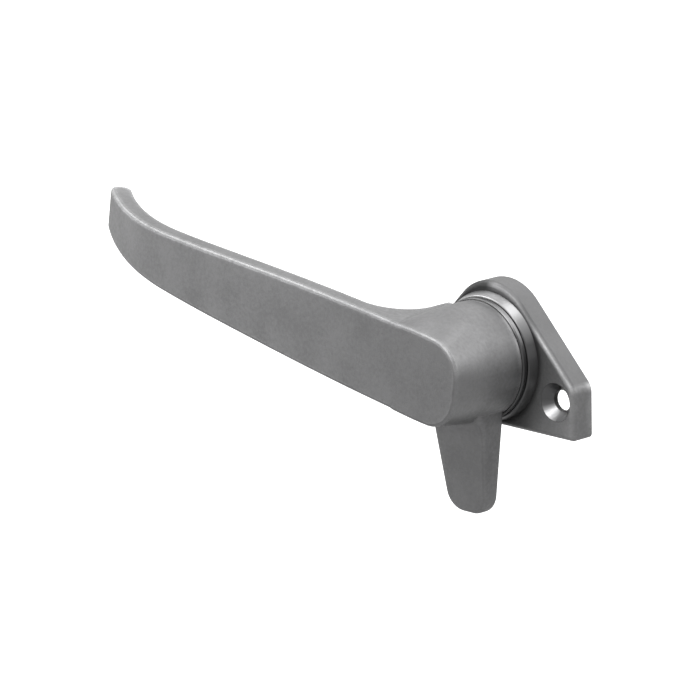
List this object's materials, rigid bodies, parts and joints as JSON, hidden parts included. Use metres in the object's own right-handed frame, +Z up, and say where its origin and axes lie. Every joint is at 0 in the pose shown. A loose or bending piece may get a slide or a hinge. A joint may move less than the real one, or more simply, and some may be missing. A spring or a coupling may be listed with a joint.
{
  "type": "casement window cam handle",
  "caption": "Surface-mounted casement window handle: a curled lever turns a tapered cam nose on a diamond base plate to draw the sash shut.",
  "frame": {"origin": "on the spindle axis, in the base plate's mounting face", "axes": "+Z up, +X to the right as the user faces the window, +Y into the window frame and -Y towards the user; the lever lies to -X and the nose hangs to -Z in the locked place"},
  "size_m": [0.1184, 0.0264, 0.0524],
  "materials": {
    "cast_metal": "satin die casting, neutral grey",
    "bright_metal": "bright washer",
    "steel": "plain plated steel"
  },
  "bodies": {
    "plate": {"base_plate": "cast_metal", "thrust_washer": "bright_metal"},
    "handle": {"cam_handle": "cast_metal", "spring_washer": "steel", "retaining_washer": "steel", "pivot_screw": "steel"}
  },
  "joints": [
    {"name": "handle_turn", "type": "hinge", "parent": "plate", "child": "handle", "pos_m": [0, -0.0055, 0], "axis": [0, 1, 0], "range_deg": [0, 90]}
  ]
}
